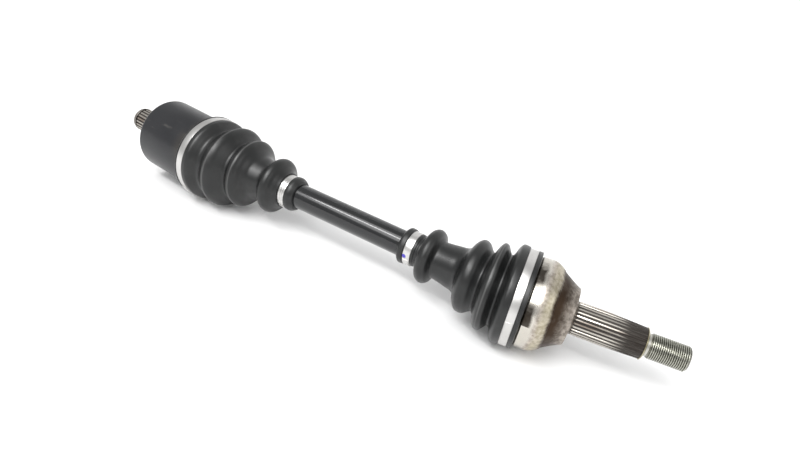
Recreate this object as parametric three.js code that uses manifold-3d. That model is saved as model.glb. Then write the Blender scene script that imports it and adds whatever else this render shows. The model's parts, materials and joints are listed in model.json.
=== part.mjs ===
// Constant-velocity drive axle for the front of a small off-road vehicle.
// Millimetres, +Z up. The axle lies along X on its two boots, with the wheel end at +X, and its two
// joints stay bent a few degrees towards +Y, as they do when the axle is laid down.
import * as THREE from 'three';
import { mergeVertices } from 'three/addons/utils/BufferGeometryUtils.js';
import Module from 'manifold-3d';

const wasm = await Module();
wasm.setup();

// ---- Driving dimensions ----
const gap = 0.3; // between pieces that touch inside a turned joint
const ballCount = 6;

// The bar; stations along it are measured from the inner joint's centre
const jointSpan = 347.5; // to the outer joint's centre
const barRadius = 11.4;
const splineRadius = 10.6; // tips of the splines on the bar's two ends
const splineDepth = 0.7;
const barTeeth = 20;

// How far each joint is bent at rest, about Z
const innerBend = THREE.MathUtils.degToRad(-6.3);
const outerBend = THREE.MathUtils.degToRad(8.9);

// Balls, and the race and cage that carry them
const innerPitch = 23; // radius at which the balls' centres lie
const innerBallRadius = 7.5;
const outerPitch = 22.6;
const outerBallRadius = 7.5;
const straightPlay = 0.9; // between a ball and the straight track it rolls in
const curvedPlay = 1.6; // the same for the joint that bends furthest
const raceInset = 3.1; // the race stays this far inside the balls' centres
const raceShoulder = 3.5; // race width beyond a ball, on each side
const cageInset = 1.9;
const cageOutset = 3.2;
const cageShoulder = 5;
const windowSlack = 3; // spare length of a cage window, for the balls' own movement
const cageClearance = 0.7; // cage to cup
const bellClearance = 1.2; // cage to bell
const raceRingWidth = 1.3;
const raceRingDepth = 1.6; // of the bar's groove
const raceRingHeight = 1.6; // how far the ring stands above the splines

// Inner joint's cup, measured from the joint's centre along its own axis
const cupWall = 3.3; // outside a ball track
const cupSeatStep = 0.5; // the boot's seat is turned down by this much
const cupBack = -43.8;
const cupMouth = 27.5;
const cupSeatStart = 14;
const cupFloor = 6;
const cupEdge = 2.5; // round on the far edge
const snapRingInset = 4.1; // from the mouth
const snapRingWidth = 1.6;
const snapRingDepth = 1.2; // into the cup
const snapRingHeight = 1.5; // out of it, in the cage's way
const innerStubRadius = 11.8;
const innerStubDepth = 1; // of its splines
const innerStubLength = 44.2;
const innerStubTeeth = 22;
const stubRingInset = 2.6; // from the stub's end to its ring groove
const stubRingWidth = 1.6;
const stubRingDepth = 2;

// Outer joint's bell, measured from the joint's centre along its own axis
const bellWall = 5.1; // outside a ball track
const bellSeatStep = 1.1;
const bellMouth = -11;
const bellSeatEnd = 3.8;
const bellFace = 38.4; // the shoulder that meets the wheel hub
const bellFaceRadius = 23;
const stubRadius = 13.3;
const stubDepth = 1.1;
const stubLength = 56.4;
const stubTeeth = 27;
const threadRadius = 10;
const threadDepth = 1.4;
const threadLength = 31.4;

// Boots; the outer boot's stations are measured from the outer joint's centre
const bootSides = 20; // flats round a boot, one of which is underneath
const bootWall = 2.1;
const innerLandWall = 3.47; // rubber under each band clamp
const innerCuffWall = 2.15;
const outerCuffWall = 1.55;
const outerLandWall = 1.95;
const innerBandStart = 20.6;
const innerCuffStart = 113.2;
const outerCuffStart = -102.5;
const outerBandStart = -7.9;
const innerRimWidth = 1.6;
const innerBendSpan = [100, 40]; // the boot is straight at the first and fully turned at the second
const outerBendSpan = [-53.5, -12.5];

// Folds of the boots, as [distance, rise] from the band or cuff that they belong to
const innerLargeFolds = [[4.4, -0.2], [12.4, -5], [22.9, -0.5], [33.9, -10], [42.4, -6.4]];
const innerSmallFolds = [[-31.2, 6.3], [-22.2, 3.6], [-12.2, 11], [-3.2, 2.4]];
const outerSmallFolds = [[6, 0.4], [13, 9.4], [21, 1.4], [42.5, 5]];
const outerLargeFolds = [[-36.2, -8.2], [-25.6, -14.4], [-18.6, -3.1], [-10.8, -9.6], [-3.6, 2]];

// Band clamps
const bandThickness = 0.9;
const tailThickness = 0.7;
const largeBandWidth = 7;
const smallBandWidth = 6.8;

// ---- Sizes that follow from those ----
const trackSides = 10;
const innerTrackRadius = innerBallRadius + straightPlay;
const outerTrackRadius = outerBallRadius + curvedPlay;
const innerStubEnd = cupBack - innerStubLength;
const stubEnd = bellFace + stubLength;
const threadEnd = stubEnd + threadLength;
const cupRadius = innerPitch + innerTrackRadius + cupWall;
const cupSeatRadius = cupRadius - cupSeatStep;
const cupBore = innerPitch + cageOutset + cageClearance;
const bellRadius = outerPitch + outerTrackRadius + bellWall;
const bellSeatRadius = bellRadius - bellSeatStep;
const bellHollow = outerPitch + cageOutset + bellClearance;
const stubGrooveRadius = innerStubRadius - stubRingDepth;
const innerRaceHalf = innerBallRadius + raceShoulder;
const outerRaceHalf = outerBallRadius + raceShoulder;
const cuffBore = clearing(barRadius, bootSides);
const bandStack = gap + bandThickness; // from the rubber to the outside of a band
const innerBandRadius = clearing(cupSeatRadius, bootSides) + innerLandWall + bandStack;
const innerCuffRadius = cuffBore + innerCuffWall + bandStack;
const outerCuffRadius = cuffBore + outerCuffWall + bandStack;
const outerBandRadius = clearing(bellSeatRadius, bootSides) + outerLandWall + bandStack;
const innerBandEnd = innerBandStart + largeBandWidth;
const innerCuffEnd = innerCuffStart + smallBandWidth;
const outerCuffEnd = outerCuffStart + smallBandWidth;
const outerBandEnd = outerBandStart + largeBandWidth + 0.6;

// ---- Shape helpers ----

// A solid of revolution about X from [x, radius] corners, listed towards +X along the outside
function turned(corners, segments) {
  const outline = corners.map(([x, radius]) => new THREE.Vector2(radius, x));
  const geometry = new THREE.LatheGeometry(outline, segments);
  geometry.rotateZ(-Math.PI / 2);
  geometry.rotateX(Math.PI / segments);
  return geometry;
}

// The same, for a ring whose outline closes on itself
function turnedRing(corners, segments) {
  return turned([...corners, corners[0]], segments);
}

// Radius whose flats, on a ring with this many sides, just clear a round piece inside it
function clearing(radius, sides) {
  return (radius + gap) / Math.cos(Math.PI / sides);
}

// Arc of [x, radius] corners about a centre on the axis; angles are measured from the radial direction
function arcCorners(radius, fromDegrees, toDegrees, steps) {
  const corners = [];
  for (let i = 0; i <= steps; i += 1) {
    const angle = THREE.MathUtils.degToRad(fromDegrees + ((toDegrees - fromDegrees) * i) / steps);
    corners.push([radius * Math.sin(angle), radius * Math.cos(angle)]);
  }
  return corners;
}

// A flat shape pushed along X from one station to another
function pushed(shape, start, end, curveSegments = 12) {
  const depth = end - start;
  const geometry = new THREE.ExtrudeGeometry(shape, { depth, bevelEnabled: false, curveSegments });
  geometry.rotateY(Math.PI / 2);
  geometry.translate(start, 0, 0);
  return geometry;
}

// Outline of a splined bar with flat-topped teeth
function splineShape(tipRadius, depth, teeth) {
  const shape = new THREE.Shape();
  const pitch = (2 * Math.PI) / teeth;
  for (let i = 0; i < teeth; i += 1) {
    const corners = [
      [0.06, tipRadius - depth],
      [0.3, tipRadius],
      [0.62, tipRadius],
      [0.86, tipRadius - depth],
    ];
    for (const [part, radius] of corners) {
      const angle = (i + part) * pitch;
      const x = radius * Math.cos(angle);
      const y = radius * Math.sin(angle);
      if (i === 0 && part === corners[0][0]) shape.moveTo(x, y);
      else shape.lineTo(x, y);
    }
  }
  shape.closePath();
  return shape;
}

// Outline of a flat ring with a gap in it, which is left open at openAt
function splitRingShape(innerRadius, outerRadius, openDegrees, openAtDegrees = 0) {
  const half = THREE.MathUtils.degToRad(openDegrees / 2);
  const middle = THREE.MathUtils.degToRad(openAtDegrees);
  const shape = new THREE.Shape();
  shape.absarc(0, 0, outerRadius, middle + half, middle + 2 * Math.PI - half, false);
  shape.absarc(0, 0, innerRadius, middle + 2 * Math.PI - half, middle + half, true);
  shape.closePath();
  return shape;
}

// Part of a circle about a joint's centre, in the plane that holds X and the given direction
class MeridianArc extends THREE.Curve {
  constructor(radius, azimuth, fromDegrees, toDegrees) {
    super();
    Object.assign(this, { radius, azimuth, fromDegrees, toDegrees });
  }

  getPoint(t, target = new THREE.Vector3()) {
    const degrees = this.fromDegrees + (this.toDegrees - this.fromDegrees) * t;
    const angle = THREE.MathUtils.degToRad(degrees);
    const out = this.radius * Math.cos(angle);
    return target.set(
      this.radius * Math.sin(angle),
      out * Math.cos(this.azimuth),
      out * Math.sin(this.azimuth),
    );
  }
}

// Cutter for a curved ball track: a tube along a meridian
function curvedTrack(pitch, radius, azimuth, fromDegrees, toDegrees, steps) {
  const circle = new THREE.Shape();
  circle.absarc(0, 0, radius / Math.cos(Math.PI / trackSides), 0, 2 * Math.PI);
  const extrudePath = new MeridianArc(pitch, azimuth, fromDegrees, toDegrees);
  return new THREE.ExtrudeGeometry(circle, { steps, extrudePath, curveSegments: trackSides / 2 });
}

// Cutter for a straight ball track: a bar alongside the axis
function straightTrack(pitch, radius, azimuth, start, end) {
  const corner = radius / Math.cos(Math.PI / trackSides);
  const geometry = new THREE.CylinderGeometry(corner, corner, end - start, trackSides);
  geometry.rotateZ(Math.PI / 2);
  geometry.rotateX(azimuth);
  geometry.translate((start + end) / 2, pitch * Math.cos(azimuth), pitch * Math.sin(azimuth));
  return geometry;
}

// The first ball of each joint lies straight above its centre, so the fourth lies straight below
const azimuths = Array.from({ length: ballCount }, (_, i) => Math.PI / 2 + (i * 2 * Math.PI) / ballCount);

// ---- Joining and cutting ----

function toSolid(geometry) {
  const plain = geometry.clone();
  plain.deleteAttribute('normal');
  plain.deleteAttribute('uv');
  const merged = mergeVertices(plain, 1e-4);
  const triangles = [];
  const index = merged.index.array;
  for (let i = 0; i < index.length; i += 3) {
    const [a, b, c] = [index[i], index[i + 1], index[i + 2]];
    if (a !== b && b !== c && c !== a) triangles.push(a, b, c);
  }
  return new wasm.Manifold(
    new wasm.Mesh({
      numProp: 3,
      vertProperties: new Float32Array(merged.attributes.position.array),
      triVerts: new Uint32Array(triangles),
    }),
  );
}

function toGeometry(solid) {
  const mesh = solid.getMesh();
  const geometry = new THREE.BufferGeometry();
  geometry.setAttribute('position', new THREE.BufferAttribute(mesh.vertProperties, 3));
  geometry.setIndex(new THREE.BufferAttribute(mesh.triVerts, 1));
  geometry.computeVertexNormals();
  return geometry;
}

function joined(...geometries) {
  const solids = geometries.map(toSolid);
  return toGeometry(solids.slice(1).reduce((whole, next) => whole.add(next), solids[0]));
}

function cut(geometry, cutters) {
  return toGeometry(cutters.map(toSolid).reduce((rest, cutter) => rest.subtract(cutter), toSolid(geometry)));
}

// ---- Materials ----

function finish(color, roughness, metalness) {
  return { color, roughness, metalness };
}

const blackPaint = finish(0x2b2c2e, 0.38, 0.4);
const rubber = finish(0x242526, 0.55, 0);
const bandSteel = finish(0xd8d6d2, 0.28, 1);
const bareSteel = finish(0xb4aa9c, 0.35, 1);
const brightSteel = finish(0xc8cacc, 0.15, 1);
const springSteel = finish(0x6b6864, 0.4, 1);

function piece(name, geometry, look) {
  const mesh = new THREE.Mesh(geometry, new THREE.MeshStandardMaterial(look));
  mesh.name = name;
  return mesh;
}

// ---- Inner joint: straight tracks, so the cup can also slide along its own axis ----

function innerCup() {
  const stubRoot = cupBack + 0.8;
  const shell = turned(
    [
      [cupBack, 0],
      [cupBack, cupRadius - cupEdge],
      [cupBack + cupEdge * 0.3, cupRadius - cupEdge * 0.3],
      [cupBack + cupEdge, cupRadius],
      [cupSeatStart, cupRadius],
      [cupSeatStart + 0.6, cupSeatRadius],
      [cupMouth, cupSeatRadius],
      [cupMouth, 0],
    ],
    32,
  );
  const floor = cupBack + cupFloor;
  const bore = turned([[floor, 0], [floor, cupBore], [cupMouth + 1, cupBore], [cupMouth + 1, 0]], 24);
  const snapRingAt = cupMouth - snapRingInset;
  const grooveRadius = cupBore + snapRingDepth + 2 * gap;
  const ringGroove = turned(
    [
      [snapRingAt - gap, 0],
      [snapRingAt - gap, grooveRadius],
      [snapRingAt + snapRingWidth + gap, grooveRadius],
      [snapRingAt + snapRingWidth + gap, 0],
    ],
    24,
  );
  const tracks = azimuths.map((azimuth) =>
    straightTrack(innerPitch, innerTrackRadius, azimuth, floor, cupMouth + 1),
  );
  const hollow = cut(shell, [bore, ringGroove, ...tracks]);
  const rootRadius = innerStubRadius - innerStubDepth;
  const outline = splineShape(innerStubRadius, innerStubDepth, innerStubTeeth);
  const stub = pushed(outline, innerStubEnd + 6, stubRoot);
  const grooveStart = innerStubEnd + stubRingInset;
  const grooveEnd = grooveStart + stubRingWidth + 2 * gap;
  const nose = turned(
    [
      [innerStubEnd, 0],
      [innerStubEnd, innerStubRadius - 1.6],
      [innerStubEnd + 1.2, innerStubRadius - 0.4],
      [grooveStart, innerStubRadius - 0.4],
      [grooveStart, stubGrooveRadius],
      [grooveEnd, stubGrooveRadius],
      [grooveEnd, rootRadius],
      [grooveEnd + 1.6, rootRadius],
      [grooveEnd + 1.6, 0],
    ],
    22,
  );
  return piece('inner_cup', joined(hollow, stub, nose), blackPaint);
}

function cage(name, ballRadius, pitch) {
  const outerRadius = pitch + cageOutset;
  const innerRadius = pitch - cageInset;
  const halfWidth = ballRadius + cageShoulder;
  const reach = (radius) => THREE.MathUtils.radToDeg(Math.asin(halfWidth / radius));
  const outside = arcCorners(outerRadius, -reach(outerRadius), reach(outerRadius), 4);
  const inside = arcCorners(innerRadius, reach(innerRadius), -reach(innerRadius), 4);
  const windows = azimuths.map((azimuth) => {
    const window = new THREE.BoxGeometry(2 * ballRadius + 2 * gap, 12, 2 * ballRadius + windowSlack);
    window.translate(0, pitch, 0);
    window.rotateX(azimuth);
    return window;
  });
  return piece(name, cut(turnedRing([...outside, ...inside], 24), windows), springSteel);
}

function race(name, pitch, halfWidth, tracks) {
  const outerRadius = pitch - raceInset;
  const boreRadius = splineRadius + gap;
  const reach = THREE.MathUtils.radToDeg(Math.asin(halfWidth / outerRadius));
  const outside = arcCorners(outerRadius, -reach, reach, 4);
  const body = turnedRing([...outside, [halfWidth, boreRadius], [-halfWidth, boreRadius]], 24);
  return piece(name, cut(body, tracks), brightSteel);
}

function balls(prefix, radius, pitch) {
  return azimuths.map((azimuth, i) => {
    const ball = piece(`${prefix}_${i + 1}`, new THREE.SphereGeometry(radius, 10, 8), brightSteel);
    ball.position.set(0, pitch * Math.cos(azimuth), pitch * Math.sin(azimuth));
    return ball;
  });
}

// ---- Outer joint: curved tracks, so it can bend furthest, for steering ----

function bell() {
  const shell = turned(
    [
      [bellMouth, 0],
      [bellMouth, bellSeatRadius],
      [bellSeatEnd, bellSeatRadius],
      [bellSeatEnd + 0.6, bellRadius],
      [bellFace - 25.4, bellRadius],
      [bellFace - 20.9, bellRadius - 1.1],
      [bellFace - 16.9, bellRadius - 3.4],
      [bellFace - 10.4, bellRadius - 8.6],
      [bellFace - 5.9, bellFaceRadius + 2.2],
      [bellFace - 0.8, bellFaceRadius + 0.4],
      [bellFace, bellFaceRadius - 0.4],
      [bellFace, stubRadius + 1.4],
      [bellFace + 2, stubRadius - stubDepth],
      [bellFace + 2.5, 0],
    ],
    32,
  );
  const hollow = turned([[-bellHollow, 0], ...arcCorners(bellHollow, -72, 72, 8), [bellHollow, 0]], 20);
  const tracks = azimuths.map((azimuth) =>
    curvedTrack(outerPitch, outerTrackRadius, azimuth, -50, 42, 5),
  );
  const cupped = cut(shell, [hollow, ...tracks]);
  const splines = pushed(splineShape(stubRadius, stubDepth, stubTeeth), bellFace - 1, stubEnd - 1.5);
  const threadRoot = threadRadius - threadDepth;
  const nose = turned(
    [
      [stubEnd - 2, 0],
      [stubEnd - 2, stubRadius - stubDepth],
      [stubEnd - 1.5, stubRadius - 0.3],
      [stubEnd, stubRadius - 2],
      [stubEnd, threadRoot],
      [stubEnd + 2.5, threadRoot],
      [stubEnd + 3.9, threadRadius],
      [threadEnd - 1.3, threadRadius],
      [threadEnd, threadRadius - 1.3],
      [threadEnd, 0],
    ],
    stubTeeth,
  );
  return piece('outer_bell', joined(cupped, splines, nose), bareSteel);
}

// ---- The bar between the joints ----

function barEnd(side, centre, raceHalf) {
  const ringStart = raceHalf + 0.6; // the ring groove lies just outside the race
  const ringEnd = ringStart + raceRingWidth + 2 * gap;
  const tip = ringEnd + 2;
  const grooveRadius = splineRadius - raceRingDepth;
  const rootRadius = splineRadius - splineDepth;
  const spans = [centre - side * (raceHalf + 2.5), centre + side * ringStart].sort((a, b) => a - b);
  const splines = pushed(splineShape(splineRadius, splineDepth, barTeeth), ...spans);
  const corners = [
    [centre + side * (ringStart - 0.2), 0],
    [centre + side * (ringStart - 0.2), grooveRadius],
    [centre + side * ringEnd, grooveRadius],
    [centre + side * ringEnd, rootRadius],
    [centre + side * (tip - 0.8), rootRadius],
    [centre + side * tip, rootRadius - 0.8],
    [centre + side * tip, 0],
  ];
  return [splines, turned(side < 0 ? corners.reverse() : corners, barTeeth)];
}

function bar() {
  const start = innerRaceHalf + 2; // where the bar thickens beside each race
  const end = jointSpan - outerRaceHalf - 2;
  const neckRadius = splineRadius - 0.2;
  const body = turned(
    [
      [start, 0],
      [start, neckRadius],
      [start + 3, neckRadius],
      [start + 5, barRadius],
      [end - 5, barRadius],
      [end - 3, neckRadius],
      [end, neckRadius],
      [end, 0],
    ],
    barTeeth,
  );
  const ends = [...barEnd(-1, 0, innerRaceHalf), ...barEnd(1, jointSpan, outerRaceHalf)];
  return piece('axle_bar', joined(body, ...ends), blackPaint);
}

function splitRing(name, innerRadius, outerRadius, start, width, openAt) {
  const outline = splitRingShape(innerRadius, outerRadius, 30, openAt);
  return piece(name, pushed(outline, start, start + width, 9), springSteel);
}

// The ring that holds a race on the bar
function raceRing(name, start) {
  const innerRadius = splineRadius - raceRingDepth + gap;
  return splitRing(name, innerRadius, splineRadius + raceRingHeight, start, raceRingWidth, 90);
}

// ---- Boots ----

// Outline of a boot through [x, outer radius, inner radius] stations: smooth where the stations ask for it
function bootCorners(stations, steps) {
  const outer = new THREE.SplineCurve(stations.map(([x, radius]) => new THREE.Vector2(x, radius)));
  const inner = new THREE.SplineCurve(stations.map(([x, , radius]) => new THREE.Vector2(x, radius)));
  const outside = outer.getPoints(steps).map((p) => [p.x, p.y]);
  const inside = inner.getPoints(steps).map((p) => [p.x, p.y]);
  return { outside, inside: inside.reverse() };
}

// Turns each slice of a boot about its joint's centre, fully at one station and not at all at the other
function bent(geometry, centre, angle, straightAt, turnedAt) {
  const points = geometry.attributes.position;
  for (let i = 0; i < points.count; i += 1) {
    const x = points.getX(i);
    const y = points.getY(i);
    const t = THREE.MathUtils.clamp((x - straightAt) / (turnedAt - straightAt), 0, 1);
    const turn = angle * t * t * (3 - 2 * t);
    points.setX(i, centre + (x - centre) * Math.cos(turn) - y * Math.sin(turn));
    points.setY(i, (x - centre) * Math.sin(turn) + y * Math.cos(turn));
  }
  geometry.computeVertexNormals();
  return geometry;
}

function bootShape(largeEnd, folds, cuff) {
  const middle = bootCorners(folds.map(([x, radius]) => [x, radius, radius - bootWall]), 20);
  const ends = [largeEnd, cuff].sort((a, b) => a.outside[0][0] - b.outside[0][0]);
  const outside = [...ends[0].outside, ...middle.outside, ...ends[1].outside];
  const inside = [...ends[1].inside, ...middle.inside, ...ends[0].inside];
  return turnedRing([...outside, ...inside], bootSides);
}

// Folds given as [distance, rise] from the end of a boot that they belong to
function foldsFrom(station, radius, folds) {
  return folds.map(([distance, rise]) => [station + distance, radius + rise]);
}

function innerBoot() {
  const bore = clearing(cupSeatRadius, bootSides);
  const land = innerBandRadius - bandStack;
  const rimRadius = innerBandRadius + 0.3;
  const largeEnd = {
    outside: [
      [innerBandStart - innerRimWidth, rimRadius],
      [innerBandStart - gap, rimRadius],
      [innerBandStart - gap, land],
      [innerBandEnd + gap, land],
      [innerBandEnd + gap, innerBandRadius],
    ],
    inside: [
      [cupMouth + 2, bore],
      [innerBandStart - innerRimWidth, bore],
    ],
  };
  const folds = [
    ...foldsFrom(innerBandEnd, innerBandRadius, innerLargeFolds),
    ...foldsFrom(innerCuffStart, innerCuffRadius, innerSmallFolds),
  ];
  const landRadius = innerCuffRadius - bandStack;
  const cuff = {
    outside: [
      [innerCuffStart - gap, innerCuffRadius + 1.2],
      [innerCuffStart - gap, landRadius],
      [innerCuffEnd + gap, landRadius],
      [innerCuffEnd + gap, innerCuffRadius + 0.7],
      [innerCuffEnd + 4, innerCuffRadius + 1],
      [innerCuffEnd + 8.5, innerCuffRadius - 1.6],
    ],
    inside: [
      [innerCuffEnd + 8.5, cuffBore],
      [innerCuffStart, cuffBore],
    ],
  };
  const straight = bootShape(largeEnd, folds, cuff);
  return piece('inner_boot', bent(straight, 0, innerBend, ...innerBendSpan), rubber);
}

function outerBoot() {
  const bore = clearing(bellSeatRadius, bootSides);
  const land = outerBandRadius - bandStack;
  const lipEnd = bellSeatEnd - gap;
  const lipRadius = outerBandRadius + 0.7;
  const largeEnd = {
    outside: [
      [outerBandStart - gap, outerBandRadius + 1],
      [outerBandStart - gap, land],
      [outerBandEnd + gap, land],
      [outerBandEnd + gap, lipRadius],
      [lipEnd - 0.8, lipRadius],
      [lipEnd, lipRadius - 0.9],
    ],
    inside: [
      [lipEnd, bore],
      [bellMouth - gap, bore],
    ],
  };
  const folds = [
    ...foldsFrom(outerCuffEnd, outerCuffRadius, outerSmallFolds),
    ...foldsFrom(outerBandStart, outerBandRadius, outerLargeFolds),
  ];
  const landRadius = outerCuffRadius - bandStack;
  const cuff = {
    outside: [
      [outerCuffStart - 6.4, outerCuffRadius - 1.4],
      [outerCuffStart - 4.6, outerCuffRadius + 1.2],
      [outerCuffStart - gap, outerCuffRadius + 0.9],
      [outerCuffStart - gap, landRadius],
      [outerCuffEnd + gap, landRadius],
      [outerCuffEnd + gap, outerCuffRadius - 0.6],
    ],
    inside: [
      [outerCuffEnd + 4, cuffBore],
      [outerCuffStart - 6.4, cuffBore],
    ],
  };
  const straight = bootShape(largeEnd, folds, cuff);
  const boot = piece('outer_boot', bent(straight, 0, outerBend, ...outerBendSpan), rubber);
  boot.position.x = jointSpan;
  return boot;
}

// A band clamp: a plain hoop whose tail overlaps it for part of the way round
function band(name, radius, start, end, tailDegrees, tailAtDegrees) {
  const inner = radius - bandThickness;
  const hoop = turnedRing([[start, radius], [end, radius], [end, inner], [start, inner]], 32);
  const tail = splitRingShape(radius - 0.4, radius + tailThickness, 360 - tailDegrees, tailAtDegrees + 180);
  return piece(name, joined(hoop, pushed(tail, start + 0.5, end - 0.5, 4)), bandSteel);
}

// ---- Assembly ----

const innerTracks = azimuths.map((azimuth) =>
  straightTrack(innerPitch, innerTrackRadius, azimuth, -innerRaceHalf - 2, innerRaceHalf + 2),
);
const outerTracks = azimuths.map((azimuth) =>
  curvedTrack(outerPitch, outerTrackRadius, azimuth, -36, 36, 4),
);

// The turned ring that holds the balls in the cup
const snapRing = splitRing(
  'inner_snap_ring',
  cupBore - snapRingHeight,
  cupBore + snapRingDepth,
  cupMouth - snapRingInset,
  snapRingWidth,
  270,
);
const stubRing = splitRing(
  'inner_stub_ring',
  stubGrooveRadius + gap,
  innerStubRadius - 0.1,
  innerStubEnd + stubRingInset + gap,
  stubRingWidth,
  90,
);

const innerJoint = new THREE.Group();
innerJoint.rotation.z = innerBend;
innerJoint.add(
  innerCup(),
  stubRing,
  snapRing,
  band('inner_large_band', innerBandRadius, innerBandStart, innerBandEnd, 46, 60),
);

const innerCageGroup = new THREE.Group();
innerCageGroup.rotation.z = innerBend / 2;
innerCageGroup.add(
  cage('inner_cage', innerBallRadius, innerPitch),
  ...balls('inner_ball', innerBallRadius, innerPitch),
);

const outerJoint = new THREE.Group();
outerJoint.position.x = jointSpan;
outerJoint.rotation.z = outerBend;
outerJoint.add(
  bell(),
  band('outer_large_band', outerBandRadius, outerBandStart, outerBandEnd, 46, 60),
);

const outerCageGroup = new THREE.Group();
outerCageGroup.position.x = jointSpan;
outerCageGroup.rotation.z = outerBend / 2;
outerCageGroup.add(
  cage('outer_cage', outerBallRadius, outerPitch),
  ...balls('outer_ball', outerBallRadius, outerPitch),
);

const outerRace = race('outer_race', outerPitch, outerRaceHalf, outerTracks);
outerRace.position.x = jointSpan;
const outerSmallBand = band('outer_small_band', outerCuffRadius, outerCuffStart, outerCuffEnd, 70, 250);
outerSmallBand.position.x = jointSpan;

const axle = new THREE.Group();
axle.add(
  innerJoint,
  innerCageGroup,
  race('inner_race', innerPitch, innerRaceHalf, innerTracks),
  raceRing('inner_race_ring', -innerRaceHalf - 0.6 - gap - raceRingWidth),
  innerBoot(),
  band('inner_small_band', innerCuffRadius, innerCuffStart, innerCuffEnd, 70, 250),
  bar(),
  outerBoot(),
  outerSmallBand,
  outerRace,
  raceRing('outer_race_ring', jointSpan + outerRaceHalf + 0.6 + gap),
  outerCageGroup,
  outerJoint,
);

// The origin is under the middle of the axle, on the surface that it lies on
axle.updateMatrixWorld(true);
const box = new THREE.Box3().setFromObject(axle, true);
const middle = box.getCenter(new THREE.Vector3());
axle.position.set(-middle.x, -middle.y, -box.min.z);

export default axle;
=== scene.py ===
import json
import math

import bmesh
import bpy
from mathutils import Matrix, Vector


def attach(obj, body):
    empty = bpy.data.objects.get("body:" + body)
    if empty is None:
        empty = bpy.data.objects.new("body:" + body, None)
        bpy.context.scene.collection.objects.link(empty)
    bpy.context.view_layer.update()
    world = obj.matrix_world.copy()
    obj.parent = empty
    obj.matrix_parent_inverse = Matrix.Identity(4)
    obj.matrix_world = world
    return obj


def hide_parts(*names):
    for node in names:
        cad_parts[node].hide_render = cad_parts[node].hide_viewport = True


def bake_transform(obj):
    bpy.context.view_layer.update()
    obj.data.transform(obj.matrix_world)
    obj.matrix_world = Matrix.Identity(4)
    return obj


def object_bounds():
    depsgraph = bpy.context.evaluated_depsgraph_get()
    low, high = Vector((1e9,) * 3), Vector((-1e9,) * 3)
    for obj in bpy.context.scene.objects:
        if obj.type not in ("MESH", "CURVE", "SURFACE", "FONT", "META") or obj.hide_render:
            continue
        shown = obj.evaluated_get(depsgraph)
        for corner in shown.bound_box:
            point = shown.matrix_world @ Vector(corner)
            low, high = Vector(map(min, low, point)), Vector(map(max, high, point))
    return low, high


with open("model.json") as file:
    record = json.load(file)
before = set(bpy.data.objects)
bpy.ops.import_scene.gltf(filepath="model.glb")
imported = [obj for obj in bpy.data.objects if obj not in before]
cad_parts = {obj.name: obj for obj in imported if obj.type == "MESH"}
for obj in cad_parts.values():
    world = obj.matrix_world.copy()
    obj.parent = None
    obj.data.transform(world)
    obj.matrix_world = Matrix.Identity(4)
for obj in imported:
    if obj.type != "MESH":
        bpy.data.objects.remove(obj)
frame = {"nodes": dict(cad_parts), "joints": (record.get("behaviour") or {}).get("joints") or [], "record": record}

# A drive axle with a sliding ball joint at one end and a wide-angle ball joint at the other, lying on a
# pale floor. Metres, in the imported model's frame. Each round piece is made along X about its own joint's
# centre, from outlines of (x, radius) in millimetres, and then put in place.

CAD_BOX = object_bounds()
MM = 0.001
joints = {joint["name"]: joint for joint in frame["joints"]}
mounts = {mount["name"]: mount for mount in frame["record"]["mounts"]}

# ---- Where the two joints are ----

inner_centre = Vector(joints["inner_swing"]["pos_m"])
outer_centre = Vector(joints["outer_steer"]["pos_m"])
inner_axis = Vector(joints["inner_plunge"]["axis"])
outer_axis = Vector(mounts["hub_shoulder"]["axis"])
inner_bend = math.atan2(inner_axis.y, inner_axis.x)
outer_bend = math.atan2(outer_axis.y, outer_axis.x)
joint_span = (outer_centre - inner_centre).x / MM

ON_BAR = Matrix.Translation(inner_centre)
ON_INNER = Matrix.Translation(inner_centre) @ Matrix.Rotation(inner_bend, 4, "Z")
ON_INNER_CAGE = Matrix.Translation(inner_centre) @ Matrix.Rotation(inner_bend / 2, 4, "Z")
ON_OUTER = Matrix.Translation(outer_centre) @ Matrix.Rotation(outer_bend, 4, "Z")
ON_OUTER_CAGE = Matrix.Translation(outer_centre) @ Matrix.Rotation(outer_bend / 2, 4, "Z")

# ---- Sizes in millimetres ----

bar_radius = 11.4
cup_radius = 34.7
cup_seat_radius = 34.2
cup_back = -43.8
cup_mouth = 27.5
cup_seat_start = 14
inner_pitch = 23
inner_ball_radius = 7.5
inner_track_play = 0.9
inner_race_radius = 19.9
inner_stub_radius = 11.8
inner_stub_teeth = 22
inner_stub_end = (Vector(mounts["inner_stub_end"]["pos_m"]) - inner_centre).length / MM
bell_radius = 36.8
bell_seat_radius = 35.7
bell_mouth = -11
bell_seat_end = 3.8
bell_face = 38.4
bell_face_radius = 23
bell_edge = 23.4
bell_hollow_radius = 27
outer_pitch = 22.6
outer_ball_radius = 7.5
outer_track_play = 1.6
outer_race_radius = 19.5
stub_radius = 13.3
stub_end = 94.8
stub_teeth = 27
stub_tooth_depth = 1.1
thread_radius = 10
thread_pitch = 1.5
thread_depth = 0.8
thread_end = (Vector(mounts["thread_end"]["pos_m"]) - outer_centre).length / MM
boot_wall = 2.0
bar_spline_radius = 10.6
bar_teeth = 20
race_half_width = 11
race_bore = 10.95
race_ring_radius = 12.2
race_ring_width = 1.3
band_thickness = 0.9
band_radius = 39.6
under_band = band_thickness + 0.05
inner_cuff_radius = 15.2
outer_cuff_radius = 14.6
inner_band = (20.6, 27.6)
inner_cuff = (113.2, 120)
outer_cuff = (245, 251.8)
outer_band = (-7, -0.4)

ball_azimuths = [math.pi / 2 + turn * math.pi / 3 for turn in range(6)]


# ---- Outlines ----

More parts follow.
